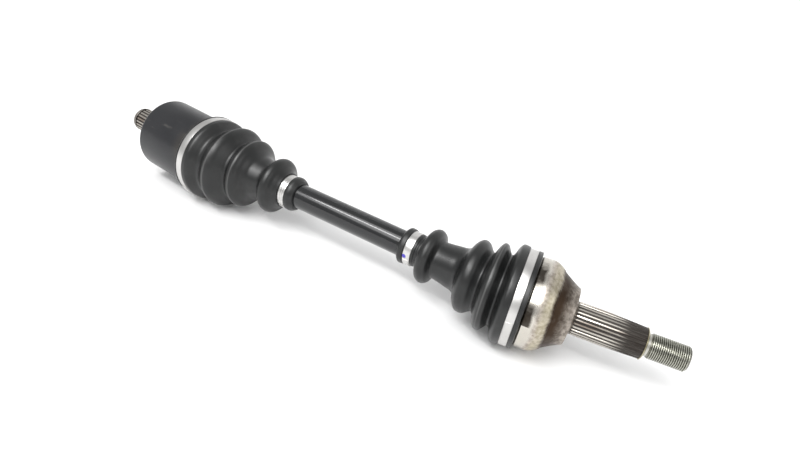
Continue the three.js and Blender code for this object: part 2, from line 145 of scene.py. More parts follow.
def rounded(corners, steps=4):
    """An outline through (x, radius) corners; a third number rounds that corner by so many millimetres."""
    points = []
    last = len(corners) - 1
    for i, corner in enumerate(corners):
        here = Vector(corner[:2])
        if len(corner) < 3 or i in (0, last):
            points.append(here)
            continue
        before = Vector(corners[i - 1][:2]) - here
        after = Vector(corners[i + 1][:2]) - here
        reach = min(corner[2], before.length * 0.49, after.length * 0.49)
        start = here + before.normalized() * reach
        end = here + after.normalized() * reach
        for step in range(steps + 1):
            t = step / steps
            points.append(start * (1 - t) ** 2 + here * 2 * t * (1 - t) + end * t * t)
    return [(point.x, point.y) for point in points]


def arc(radius, from_degrees, to_degrees, steps):
    """Outline of part of a ball about the joint's centre; the angles start from straight out."""
    points = []
    for step in range(steps + 1):
        angle = math.radians(from_degrees + (to_degrees - from_degrees) * step / steps)
        points.append((radius * math.sin(angle), radius * math.cos(angle)))
    return points


def flowing(stations, steps=10):
    """A smooth line through (x, radius) stations, level at each crest and valley."""
    points = []
    count = len(stations)
    vectors = [Vector(station) for station in stations]
    slopes = []
    for i, here in enumerate(vectors):
        before, after = vectors[max(i - 1, 0)], vectors[min(i + 1, count - 1)]
        slope = (after - before) * 0.5
        if (here.y - before.y) * (after.y - here.y) < 0:
            slope.y = 0
        slopes.append(slope)
    for i in range(count - 1):
        start, end = vectors[i], vectors[i + 1]
        for step in range(steps):
            t = step / steps
            cubic = (2 * start - 2 * end + slopes[i] + slopes[i + 1]) * t ** 3
            square = (-3 * start + 3 * end - 2 * slopes[i] - slopes[i + 1]) * t ** 2
            point = cubic + square + slopes[i] * t + start
            points.append((point.x, point.y))
    points.append(tuple(stations[-1]))
    return points


# ---- Making and placing meshes ----

def spun(outline, steps=128, closed=False):
    """A bmesh turned about X from an outline. A closed outline makes a ring."""
    bm = bmesh.new()
    verts = [bm.verts.new((x * MM, 0, radius * MM)) for x, radius in outline]
    edges = [bm.edges.new(pair) for pair in zip(verts, verts[1:])]
    if closed:
        edges.append(bm.edges.new((verts[-1], verts[0])))
    bmesh.ops.spin(bm, geom=verts + edges, cent=(0, 0, 0), axis=(1, 0, 0), angle=2 * math.pi,
                   steps=steps, use_merge=True)
    bmesh.ops.remove_doubles(bm, verts=bm.verts, dist=2e-6)
    return bm


def reshape(bm, radius_at):
    """Moves each point in or out to radius_at(x, radius, azimuth), in millimetres."""
    for vert in bm.verts:
        x, y, z = (c / MM for c in vert.co)
        radius = math.hypot(y, z)
        if radius < 1e-4:
            continue
        scale = radius_at(x, radius, math.atan2(z, y)) / radius
        vert.co.y *= scale
        vert.co.z *= scale


def made(name, bm, place, body, finish, replaces=(), sharp=32):
    """Turns a bmesh into a finished piece that rides on a body."""
    bm.transform(place)
    bmesh.ops.recalc_face_normals(bm, faces=bm.faces)
    mesh = bpy.data.meshes.new(name)
    bm.to_mesh(mesh)
    bm.free()
    mesh.shade_smooth()
    mesh.set_sharp_from_angle(angle=math.radians(sharp))
    mesh.materials.append(finish)
    piece = bpy.data.objects.new(name, mesh)
    bpy.context.scene.collection.objects.link(piece)
    if body:
        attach(piece, body)
    if replaces:
        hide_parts(*replaces)
    return piece


# ---- Shader building ----

class Value:
    """A number that varies over a surface, with arithmetic that adds Math nodes."""

    def __init__(self, shader, socket):
        self.shader = shader
        self.socket = socket

    def maths(self, operation, *others, clamp=False):
        inputs = dict(enumerate([self, *others]))
        return self.shader.add("ShaderNodeMath", inputs, operation=operation, use_clamp=clamp)

    def __add__(self, other):
        return self.maths("ADD", other)

    __radd__ = __add__

    def __mul__(self, other):
        return self.maths("MULTIPLY", other)

    __rmul__ = __mul__

    def __sub__(self, other):
        return self.maths("SUBTRACT", other)

    def __rsub__(self, other):
        return (self * -1) + other

    def __pow__(self, other):
        return self.maths("POWER", other)

    def absolute(self):
        return self.maths("ABSOLUTE")

    def clamped(self):
        return self.maths("ADD", 0, clamp=True)

    def between(self, low, high):
        """0 below low, 1 above high, and smooth between them; high may be the lower one."""
        inputs = {0: self, 1: low, 2: high}
        return self.shader.add("ShaderNodeMapRange", inputs, interpolation_type="SMOOTHSTEP")


class Shader:
    """Builds one material's nodes."""

    def __init__(self, name, place=Matrix.Identity(4)):
        self.material = bpy.data.materials.new(name)
        self.material.use_nodes = True
        self.tree = self.material.node_tree
        self.surface = self.tree.nodes["Principled BSDF"]
        where = self.add("ShaderNodeTexCoord", output="Object")
        rotation = place.to_euler()
        self.place = self.add("ShaderNodeMapping", {
            "Vector": where, "Location": place.translation, "Rotation": rotation,
        }, vector_type="TEXTURE")

    def connect(self, socket, value):
        if isinstance(value, Value):
            self.tree.links.new(value.socket, socket)
        else:
            socket.default_value = value

    def add(self, kind, inputs=None, output=0, **settings):
        node = self.tree.nodes.new(kind)
        for name, setting in settings.items():
            setattr(node, name, setting)
        for key, value in (inputs or {}).items():
            self.connect(node.inputs[key], value)
        return Value(self, node.outputs[output])

    def axes(self):
        """Distance along the piece, its radius and its azimuth, in metres and radians."""
        split = self.add("ShaderNodeSeparateXYZ", {0: self.place})
        node = split.socket.node
        x, y, z = (Value(self, node.outputs[i]) for i in range(3))
        radius = (y * y + z * z) ** 0.5
        return x, radius, z.maths("ARCTAN2", y)

    def noise(self, scale, detail=4, roughness=0.55, stretch=(1, 1, 1), shift=0):
        point = self.add("ShaderNodeMapping", {
            "Vector": self.place, "Scale": stretch, "Location": (shift, 0, 0),
        })
        inputs = {"Vector": point, "Scale": scale, "Detail": detail, "Roughness": roughness}
        return self.add("ShaderNodeTexNoise", inputs)

    def mix(self, factor, low, high):
        """A colour that goes from low to high as factor goes from 0 to 1."""
        low, high = ((*c, 1) if isinstance(c, tuple) else c for c in (low, high))
        node = self.tree.nodes.new("ShaderNodeMix")
        node.data_type = "RGBA"
        for key, value in (("Factor_Float", factor), ("A_Color", low), ("B_Color", high)):
            self.connect(next(s for s in node.inputs if s.identifier == key), value)
        return Value(self, next(s for s in node.outputs if s.identifier == "Result_Color"))

    def bump(self, height, strength, distance):
        inputs = {"Height": height, "Strength": strength, "Distance": distance}
        self.connect(self.surface.inputs["Normal"], self.add("ShaderNodeBump", inputs))

    def finish(self, **values):
        """Sets the surface's sockets; spaces in their names are written as underscores."""
        for name, value in values.items():
            self.connect(self.surface.inputs[name.replace("_", " ")], value)
        return self.material


# ---- Finishes ----

def cup_paint():
    s = Shader("cup_paint", ON_INNER)
    x, _, _ = s.axes()
    cloud = s.noise(38, 5)
    grain = s.noise(900, 3)
    scuff = s.noise(160, 6, 0.7, (0.25, 1, 1)).between(0.6, 0.72)
    edge = x.between((cup_back + 2.3) * MM, (cup_back + 0.3) * MM) * cloud.between(0.45, 0.6)
    step_start = x.between((cup_seat_start - 0.7) * MM, (cup_seat_start - 0.2) * MM)
    step_end = x.between((cup_seat_start + 0.7) * MM, (cup_seat_start + 0.2) * MM)
    step = step_start * step_end
    handled = x.between(0.002, 0.016) * cloud.between(0.4, 0.62)
    base = s.mix(cloud, (0.008, 0.0085, 0.0105), (0.017, 0.0175, 0.0195))
    brownish = s.mix(handled * 0.5, base, (0.05, 0.043, 0.035))
    dusty = s.mix(scuff * 0.25, brownish, (0.12, 0.115, 0.105))
    worn = s.mix((edge * 0.5 + step * (0.4 + cloud * 0.4)).clamped(), dusty, (0.3, 0.28, 0.25))
    s.bump(grain * 0.6 + cloud * 0.4, 0.12, 0.0004)
    return s.finish(Base_Color=worn, Roughness=0.3 + cloud * 0.12 + scuff * 0.15,
                    Metallic=edge * 0.4, Specular_IOR_Level=0.32,
                    Coat_Weight=0.08, Coat_Roughness=0.2)


def bar_paint():
    s = Shader("bar_paint", ON_BAR)
    cloud = s.noise(30, 4)
    peel = s.noise(420, 2)
    scratch = s.noise(240, 5, 0.75, (0.06, 1, 1)).between(0.66, 0.74)
    base = s.mix(cloud, (0.003, 0.0035, 0.004), (0.008, 0.0085, 0.0095))
    scratched = s.mix(scratch * 0.35, base, (0.1, 0.1, 0.1))
    s.bump(peel, 0.05, 0.0002)
    return s.finish(Base_Color=scratched, Roughness=0.16 + cloud * 0.1 + scratch * 0.2,
                    Specular_IOR_Level=0.35, Coat_Weight=0.6, Coat_Roughness=0.05, Coat_IOR=1.5)


def boot_rubber(name, place):
    s = Shader(name, place)
    crest = s.add("ShaderNodeAttribute", output="Fac", attribute_name="crest")
    cloud = s.noise(26, 5)
    pores = s.noise(1300, 3, 0.6)
    bloom = s.noise(70, 6, 0.65).between(0.5, 0.78)
    base = s.mix(cloud, (0.0045, 0.005, 0.005), (0.0105, 0.011, 0.011))
    chalky = s.mix(bloom * 0.3, base, (0.045, 0.045, 0.044))
    # Lighter along the crests: partly rubbed wear, partly a painted highlight.
    crest_wear_and_painted_highlight = s.mix((crest * (0.15 + cloud * 0.55)).clamped(), chalky, (0.13, 0.13, 0.128))
    s.bump(pores * 0.4 + cloud * 0.6, 0.14, 0.0004)
    return s.finish(Base_Color=crest_wear_and_painted_highlight, Roughness=0.27 + cloud * 0.14 + bloom * 0.12,
                    Specular_IOR_Level=0.5)


def band_steel(name, place, dab_at=None):
    """Bright rolled steel; dab_at is where a small dab of blue marking paint lies, if it has one."""
    s = Shader(name, place)
    lines = s.noise(60, 4, 0.6, (60, 1, 1))
    cloud = s.noise(55, 4)
    marks = s.noise(300, 6, 0.7).between(0.6, 0.72)
    base = s.mix(cloud, (0.5, 0.492, 0.478), (0.72, 0.712, 0.698))
    colour = s.mix(marks * 0.45, base, (0.34, 0.33, 0.32))
    paint = 0
    if dab_at:
        away = s.add("ShaderNodeVectorMath", {0: s.place, 1: dab_at}, output="Value", operation="DISTANCE")
        paint = (away + (cloud - 0.5) * 0.0016).between(0.0023, 0.0017)
        colour = s.mix(paint, colour, (0.06, 0.045, 0.42))
    s.bump(lines, 0.08, 0.0002)
    return s.finish(Base_Color=colour, Roughness=0.24 + lines * 0.14 + marks * 0.15, Metallic=1 - paint)


def bell_steel():
    """Machined steel, smooth beside the boot and mottled brown and cream where it was heated and forged."""
    s = Shader("bell_steel", ON_OUTER)
    x, radius, azimuth = s.axes()
    cloud = s.noise(45, 5)
    blotch = s.noise(85, 6, 0.62, (0.5, 1, 1), 3)
    scale = s.noise(330, 3, 0.6)
    turning = s.add("ShaderNodeTexNoise", {
        "Vector": s.add("ShaderNodeCombineXYZ", {0: x * 2600, 1: radius * 900}), "Scale": 1.0, "Detail": 3,
    })
    ragged = x + (blotch - 0.5) * 0.006
    rough = ragged.between(0.011, 0.0145)
    straw = ragged.between(0.013, 0.018) * ragged.between(0.0245, 0.0215)
    brown = ragged.between(0.0205, 0.0238) * ragged.between(0.0375, 0.029)
    hub = ragged.between(0.027, 0.031)
    smooth = s.mix(cloud, (0.5, 0.47, 0.42), (0.68, 0.65, 0.59))
    mottled = s.mix(scale.between(0.3, 0.7), (0.23, 0.19, 0.16), (0.58, 0.52, 0.46))
    colour = s.mix(rough * 0.8, smooth, mottled)
    colour = s.mix((straw * (0.1 + blotch * 0.45)).clamped(), colour, (0.5, 0.46, 0.27))
    colour = s.mix((brown * (0.65 + blotch * 0.7)).clamped(), colour, (0.05, 0.033, 0.022))
    hub_scale = s.mix(scale.between(0.3, 0.7), (0.07, 0.058, 0.048), (0.24, 0.21, 0.18))
    colour = s.mix(hub * 0.5, colour, hub_scale)
    # Dark patches at fixed azimuths on the smooth band beside the boot: partly grease, partly a painted dark
    # reflection.
    wavy = azimuth + (blotch - 0.5) * 0.9
    dark_patches = 0
    for middle, half in ((3.08, 0.26), (1.93, 0.12), (-0.9, 0.2), (0.35, 0.15)):
        dark_patches = (wavy - middle).absolute().between(half + 0.34, half) + dark_patches
    dark_patches = (dark_patches * ragged.between(0.0115, 0.0085)).clamped()
    colour = s.mix((dark_patches * (0.75 + cloud * 0.4)).clamped(), colour, (0.02, 0.014, 0.009))
    s.bump(turning * (1 - rough) * 0.5 + scale * rough * 0.8 + cloud * 0.3, 0.2, 0.0003)
    roughness = 0.16 + cloud * 0.08 + rough * 0.2 + brown * 0.05 + dark_patches * 0.1
    return s.finish(Base_Color=colour, Roughness=roughness, Metallic=1.0 - dark_patches * 0.15)


def stub_steel(name, place, dirty_from, dirty_to, tip):
    s = Shader(name, place)
    x, radius, _ = s.axes()
    cloud = s.noise(60, 5, 0.6, (0.5, 1, 1))
    streak = s.noise(150, 5, 0.7, (0.1, 1, 1))
    groove = radius.between(tip - 0.00015, tip - 0.0006)
    dark_patches = x.between(dirty_from, dirty_to) * streak.between(0.36, 0.56)
    rust = streak.between(0.46, 0.62) * cloud.between(0.44, 0.6)
    base = s.mix(cloud, (0.34, 0.315, 0.28), (0.6, 0.57, 0.52))
    rusty = s.mix(rust * 0.6, base, (0.2, 0.13, 0.09))
    greased = s.mix(dark_patches * 0.6, rusty, (0.12, 0.07, 0.05))
    # Near black in the spline grooves: painted shade.
    with_painted_groove_shade = s.mix((groove * (0.8 + streak * 0.3)).clamped(), greased, (0.018, 0.014, 0.011))
    s.bump(streak * 0.6 + cloud * 0.4, 0.14, 0.0003)
    return s.finish(Base_Color=with_painted_groove_shade, Roughness=0.22 + cloud * 0.14 + dark_patches * 0.1 + groove * 0.2,
                    Metallic=1.0 - groove * 0.4)


def shoulder_steel():
    """The chamfered end of the splines and the neck behind the thread, with a straw tint on the edge."""
    s = Shader("shoulder_steel", ON_OUTER)
    _, radius, _ = s.axes()
    cloud = s.noise(80, 5)
    straw = radius.between(0.0112, 0.0124)
    base = s.mix(cloud, (0.4, 0.39, 0.35), (0.6, 0.59, 0.54))
    tinted = s.mix(straw * 0.7, base, (0.42, 0.36, 0.19))
    s.bump(s.noise(500, 3), 0.08, 0.0002)
    return s.finish(Base_Color=tinted, Roughness=0.24 + cloud * 0.16, Metallic=1.0)


def thread_steel():
    s = Shader("thread_steel", ON_OUTER)
    _, radius, _ = s.axes()
    cloud = s.noise(70, 5)
    valley = radius.between((thread_radius - 0.1) * MM, (thread_radius - 0.45) * MM)
    base = s.mix(cloud, (0.33, 0.335, 0.29), (0.5, 0.5, 0.445))
    # Darker in the thread's valleys: painted shade.
    darkened = s.mix(valley * 0.6, base, (0.09, 0.086, 0.066))
    s.bump(s.noise(500, 3), 0.08, 0.0002)
    return s.finish(Base_Color=darkened, Roughness=0.2 + cloud * 0.12, Metallic=1.0)


def hardened_steel(name, light, dark, roughness, place):
    s = Shader(name, place)
    cloud = s.noise(90, 5)
    lines = s.noise(260, 4, 0.6, (1, 0.2, 1))
    oil = s.noise(40, 4, 0.6).between(0.5, 0.68)
    base = s.mix(cloud, dark, light)
    darkened = s.mix(oil * 0.45, base, (0.09, 0.075, 0.05))
    s.bump(lines, 0.06, 0.0002)
    return s.finish(Base_Color=darkened, Roughness=roughness + cloud * 0.12 + oil * 0.06, Metallic=1.0)


def floor_white():
    s = Shader("floor_white")
    cloud = s.noise(6, 4)
    s.bump(s.noise(220, 3), 0.03, 0.0004)
    return s.finish(Base_Color=s.mix(cloud, (0.86, 0.86, 0.86), (0.9, 0.9, 0.9)), Roughness=0.75)


CUP_PAINT = cup_paint()
BAR_PAINT = bar_paint()
INNER_RUBBER = boot_rubber("inner_boot_rubber", ON_INNER)
OUTER_RUBBER = boot_rubber("outer_boot_rubber", ON_OUTER)
INNER_BAND_STEEL = band_steel("inner_band_steel", ON_INNER)
OUTER_BAND_STEEL = band_steel("outer_band_steel", ON_OUTER)
CUFF_BAND_STEEL = band_steel("cuff_band_steel", ON_BAR)
MARKED_BAND_STEEL = band_steel("marked_band_steel", ON_BAR, (0.2467, -0.0145, -0.002))
BELL_STEEL = bell_steel()
STUB_STEEL = stub_steel("stub_steel", ON_OUTER, 0.073, 0.09, stub_radius * MM)
SHOULDER_STEEL = shoulder_steel()
INNER_STUB_STEEL = stub_steel("inner_stub_steel", ON_INNER, -0.06, -0.045, inner_stub_radius * MM)
THREAD_STEEL = thread_steel()
BALL_STEEL = hardened_steel("ball_steel", (0.78, 0.79, 0.8), (0.68, 0.69, 0.7), 0.06, ON_BAR)
RACE_STEEL = hardened_steel("race_steel", (0.62, 0.62, 0.61), (0.5, 0.5, 0.49), 0.2, ON_BAR)
CAGE_STEEL = hardened_steel("cage_steel", (0.34, 0.33, 0.32), (0.22, 0.21, 0.2), 0.3, ON_BAR)
SPRING_STEEL = hardened_steel("spring_steel", (0.28, 0.26, 0.24), (0.16, 0.15, 0.14), 0.28, ON_BAR)


# ---- Ball tracks, splines and threads ----

def track_reach(sine, pitch, radius, side):
    """How far from the joint's centre a track's far (+1) or near (-1) wall is, that sine off its middle."""
    spare = radius ** 2 - (pitch * sine) ** 2
    if spare <= 0:
        return None
    return pitch * math.sqrt(1 - sine * sine) + side * math.sqrt(spare)


def off_track(azimuth):
    """Angle from an azimuth to the nearest track's middle."""
    step = math.pi / 3
    return (azimuth - ball_azimuths[0] + step / 2) % step - step / 2


def tooth(azimuth, teeth):
    """0 in a groove and 1 on a flat-topped spline tooth, with sloping flanks between."""
    phase = (azimuth / (2 * math.pi) * teeth) % 1
    return min(max((0.5 - abs(phase - 0.5)) * 4.4 - 0.55, 0), 1)


def splined(start, end, tip, depth, teeth, fade_in, fade_out):
    """A splined bar whose teeth run out over fade_in and fade_out millimetres at its two ends."""
    stations = [
        start,
        start + fade_in * 0.5,
        start + fade_in,
        (start + end) / 2,
        end - fade_out,
        end - fade_out * 0.5,
        end,
    ]
    outline = [(start, 0)] + [(x, tip) for x in stations] + [(end, 0)]
    bm = spun(outline, teeth * 10)

    def shape(x, radius, azimuth):
        rise = min(max((x - start) / max(fade_in, 0.01), 0), 1) ** 0.5
        fall = min(max((end - x) / max(fade_out, 0.01), 0), 1) ** 0.5
        full = tip - depth + depth * min(rise, fall) if fade_in else tip
        return min(tip - depth * (1 - tooth(azimuth, teeth)), max(full, tip - depth))

    reshape(bm, shape)
    return bm


# ---- Inner joint ----

def make_inner_cup():
    bore = inner_pitch + inner_ball_radius * 0.52
    track_radius = inner_ball_radius + inner_track_play
    floor = cup_back + 6
    outline = [
        (cup_back, 0),
        (cup_back, inner_stub_radius + 1.2),
        (cup_back - 0.6, inner_stub_radius + 2.4, 0.5),
        (cup_back - 0.6, 20, 0.5),
        (cup_back, 21, 0.5),
        (cup_back, cup_radius, 3.4),
        (cup_seat_start, cup_radius, 0.4),
        (cup_seat_start + 0.6, cup_seat_radius, 0.3),
        (cup_mouth, cup_seat_radius, 0.7),
        (cup_mouth, bore, 0.6),
        (floor, bore, 1.5),
        (floor, 0),
    ]
    bm = spun(rounded(outline, 5), 144)

    def shape(x, radius, azimuth):
        if x < floor - 0.1 or radius < bore - 0.8 or radius > bore + 1:
            return radius
        reach = track_reach(math.sin(off_track(azimuth)), inner_pitch, track_radius, 1)
        return max(radius, reach or 0)

    reshape(bm, shape)
    made("cup_body", bm, ON_INNER, "inner_joint", CUP_PAINT, ["inner_cup"])

    splines = splined(-inner_stub_end + 5.2, cup_back + 0.6, inner_stub_radius, 1,
                      inner_stub_teeth, 1.2, 0)
    made("inner_stub", splines, ON_INNER, "inner_joint", INNER_STUB_STEEL,
         ["inner_cup"], 25)
    groove = inner_stub_radius - 2
    nose = [
        (-inner_stub_end, 0),
        (-inner_stub_end, inner_stub_radius - 1.6, 0.3),
        (-inner_stub_end + 1.2, inner_stub_radius - 0.4, 0.3),
        (-inner_stub_end + 2.7, inner_stub_radius - 0.4, 0.2),
        (-inner_stub_end + 2.7, groove, 0.2),
        (-inner_stub_end + 4.8, groove, 0.2),
        (-inner_stub_end + 4.8, inner_stub_radius - 1.1, 0.2),
        (-inner_stub_end + 5.3, inner_stub_radius - 1.1),
        (-inner_stub_end + 5.3, 0),
    ]
    made("inner_stub_nose", spun(rounded(nose), 96), ON_INNER, "inner_joint", INNER_STUB_STEEL,
         ["inner_cup"])


def make_split_ring(name, place, body, start, width, inner, outer, open_at):
    """A ring of square wire with a gap in it."""
    bm = bmesh.new()
    bmesh.ops.create_grid(bm, x_segments=1, y_segments=1, size=0.5)
    bmesh.ops.bevel(bm, geom=bm.verts[:], offset=0.18, offset_type="OFFSET", affect="VERTICES", segments=2,
                    profile=0.5, material=-1)
    middle = (inner + outer) / 2
    turned_up = Matrix((
        (width * MM, 0, 0, (start + width / 2) * MM),
        (0, 0, 0, 0),
        (0, (outer - inner) * MM, 0, middle * MM),
        (0, 0, 0, 1),
    ))
    bm.transform(turned_up)
    bm.transform(Matrix.Rotation(open_at + math.radians(14), 4, "X"))
    face = bm.faces[:]
    bmesh.ops.spin(bm, geom=face, cent=(0, 0, 0), axis=(1, 0, 0), angle=math.radians(332), steps=72)
    bmesh.ops.remove_doubles(bm, verts=bm.verts, dist=1e-6)
    made(name + "_wire", bm, place, body, SPRING_STEEL, [name])


# ---- Outer joint ----

def make_bell():
    mouth = rounded([
        (bell_mouth, 25),
        (bell_mouth, bell_seat_radius, 0.8),
        (bell_seat_end, bell_seat_radius, 0.3),
        (bell_seat_end + 0.7, bell_radius - 0.3, 0.5),
        (bell_seat_end + 1.4, bell_radius),
    ])
    shoulder = flowing([
        (bell_seat_end + 1.6, bell_radius),
        (bell_face - 25.4, bell_radius),
        (bell_face - 20.9, bell_radius - 1.1),
        (bell_face - 16.9, bell_radius - 3.4),
        (bell_edge, bell_radius - 4.9),
    ], 6)
    hub = flowing([
        (bell_edge + 0.35, bell_radius - 5.6),
        (bell_face - 10.4, bell_radius - 8.3),
        (bell_face - 5.9, bell_face_radius + 2.8),
        (bell_face - 1.6, bell_face_radius + 0.5),
    ], 6)
    face = rounded([
        (bell_face - 1.4, bell_face_radius + 0.4),
        (bell_face, bell_face_radius, 0.8),
        (bell_face, stub_radius + 2.6, 0.3),
        (bell_face + 0.4, stub_radius + 2, 0.3),
        (bell_face + 1.6, stub_radius + 0.3, 0.6),
        (bell_face + 2.4, stub_radius - 1.1, 0.3),
        (bell_face + 2.4, 0),
    ])
    hollow = bell_hollow_radius
    cavity = arc(hollow, 88, -24, 26)
    edge = [(bell_mouth, math.sqrt(hollow ** 2 - bell_mouth ** 2) + 0.6)]
    bm = spun([(cavity[0][0], 0)] + cavity + edge + mouth[1:] + shoulder + hub + face, 144)

    def shape(x, radius, azimuth):
        distance = math.hypot(x, radius)
        if distance > hollow + 0.6 or x > hollow - 0.1 or radius < 0.5:
            return radius
        sine = radius / distance * math.sin(off_track(azimuth))
        reach = track_reach(sine, outer_pitch, outer_ball_radius + outer_track_play, 1)
        fade = min(max((math.degrees(math.atan2(x, radius)) - 41) / 9, 0), 1)
        return radius * (1 + (max(reach or 0, hollow) / hollow - 1) * (1 - fade))

    reshape(bm, shape)
    made("bell_body", bm, ON_OUTER, "outer_joint", BELL_STEEL, ["outer_bell"], 28)


def make_stub():
    splines = splined(bell_face + 1, stub_end - 1.6, stub_radius, stub_tooth_depth, stub_teeth, 2.4, 0)
    made("stub_splines", splines, ON_OUTER, "outer_joint", STUB_STEEL,
         ["outer_bell"], 25)
    root = thread_radius - 1.2
    chamfer = [
        (stub_end - 1.7, 0),
        (stub_end - 1.7, stub_radius - stub_tooth_depth),
        (stub_end - 1.4, stub_radius - 0.35, 0.3),
        (stub_end - 0.2, stub_radius - 1.9, 0.4),
        (stub_end, stub_radius - 2.4, 0.2),
        (stub_end, root, 0.5),
        (stub_end + 2.6, root, 0.4),
        (stub_end + 2.8, 0),
    ]
    made("stub_shoulder", spun(rounded(chamfer), 96), ON_OUTER, "outer_joint", SHOULDER_STEEL,
         ["outer_bell"])


def make_thread():
    start = stub_end + 2.2
    rings = int((thread_end - start) / thread_pitch * 8)
    xs = [start + (thread_end - start) * i / rings for i in range(rings + 1)]
    bm = spun([(start, 0)] + [(x, thread_radius) for x in xs] + [(thread_end, 0)], 72)

    def shape(x, radius, azimuth):
        if radius < 0.5:
            return radius
        phase = (x / thread_pitch - azimuth / (2 * math.pi)) % 1
        flank = min(max((0.5 - abs(phase - 0.5)) * 3.4 - 0.12, 0), 1)
        cut = thread_depth * (1 - flank)
        lead_in = min(max((x - start) / 1.8, 0), 1)
        lead_out = max(x - (thread_end - 1.5), 0)
        start_radius = thread_radius - 1.15 + 1.15 * lead_in
        return min(thread_radius - 0.05 - cut, start_radius, thread_radius - lead_out)

    reshape(bm, shape)
    made("thread", bm, ON_OUTER, "outer_joint", THREAD_STEEL, ["outer_bell"], 50)


# ---- Bar ----

def make_bar():
    narrow = bar_spline_radius - 0.2
    start, end = race_half_width + 2, joint_span - race_half_width - 2
    outline = [
        (start, 0),
        (start, narrow, 0.4),
        (start + 3, narrow, 1),
        (start + 5, bar_radius, 1),
        (end - 5, bar_radius, 1),
        (end - 3, narrow, 1),
        (end, narrow, 0.4),
        (end, 0),
    ]
    made("bar_body", spun(rounded(outline), 96), ON_BAR, "bar", BAR_PAINT, ["axle_bar"])
    for name, side, centre in (("bar_inner_end", -1, 0), ("bar_outer_end", 1, joint_span)):
        neck, groove, land, tip = (centre + side * at for at in (-race_half_width - 2.2, 11.6, 13.5, 15.5))
        bm = splined(*sorted((neck, groove)), bar_spline_radius, 0.7, bar_teeth, 0.8, 0.8)
        made(name, bm, ON_BAR, "bar", RACE_STEEL, ["axle_bar"], 25)
        low, high = sorted((groove - side * 0.2, land + side * 0.2))
        core = rounded([(low, 0), (low, 9, 0.2), (high, 9, 0.2), (high, 0)])
        made(name + "_groove", spun(core, 72), ON_BAR, "bar", RACE_STEEL, ["axle_bar"])
        low, high = sorted((land, tip))
        button = rounded([(low, 0), (low, 9.8, 0.6), (high, 9.8, 0.6), (high, 0)])
        made(name + "_tip", spun(button, 72), ON_BAR, "bar", RACE_STEEL, ["axle_bar"])


# ---- Races and balls ----

def make_race(name, place, outer, half_width, pitch, track_radius, curved):
    limit = math.degrees(math.asin(half_width / outer))
    outline = arc(outer, -limit, limit, 20) + [(half_width, race_bore), (-half_width, race_bore)]
    bm = spun(outline, 144, closed=True)

    def shape(x, radius, azimuth):
        if radius < 12:
            return radius
        distance = math.hypot(x, radius)
        if curved:
            sine = radius / distance * math.sin(off_track(azimuth))
            reach = track_reach(sine, pitch, track_radius, -1)
            return radius if reach is None or reach > distance else radius * reach / distance
        reach = track_reach(math.sin(off_track(azimuth)), pitch, track_radius, -1)
        return radius if reach is None else min(radius, reach)

    reshape(bm, shape)
    made(name + "_ground", bm, place, "bar", RACE_STEEL, [name], 40)


def make_balls(prefix, place, pitch, radius, bodies):
    for i, azimuth in enumerate(ball_azimuths):
        bm = bmesh.new()
        bmesh.ops.create_icosphere(bm, subdivisions=4, radius=radius * MM)
        bm.transform(Matrix.Translation(Vector((0, math.cos(azimuth), math.sin(azimuth))) * pitch * MM))
        name = f"{prefix}_ball_{i + 1}"
        made(name + "_ground", bm, place, bodies[i], BALL_STEEL, [name], 180)


# ---- Boots ----

def boot_piece(name, outer, inner, crests, bend, finish, node):
    """One part of a boot, from its outer and inner lines, bent with its joint at rest."""
    centre, angle, straight_at, turned_at = bend
    bm = spun(outer + inner[::-1], 128, closed=True)
    # Marks the crests for the rubber's lighter crest line: partly rubbed wear, partly a painted highlight.
    crest_layer = bm.verts.layers.float.new("crest")
    for vert in bm.verts:
        x, y, z = (c / MM for c in vert.co)
        radius = math.hypot(y, z)
        near = max((1 - abs(x - at) / 0.8 for at, size in crests if radius > size - 0.5), default=0)
        vert[crest_layer] = max(near, 0)
        t = min(max((x - straight_at) / (turned_at - straight_at), 0), 1)
        turn = angle * t * t * (3 - 2 * t)
        ahead = x - centre
        vert.co.x = (centre + ahead * math.cos(turn) - y * math.sin(turn)) * MM
        vert.co.y = (ahead * math.sin(turn) + y * math.cos(turn)) * MM
    piece = made(name, bm, ON_BAR, None, finish, [node], 50)
    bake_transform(piece)


def cut_line(line, low, high):
    """The part of a line from low to high."""
    return [point for point in line if low - 0.001 <= point[0] <= high + 0.001]


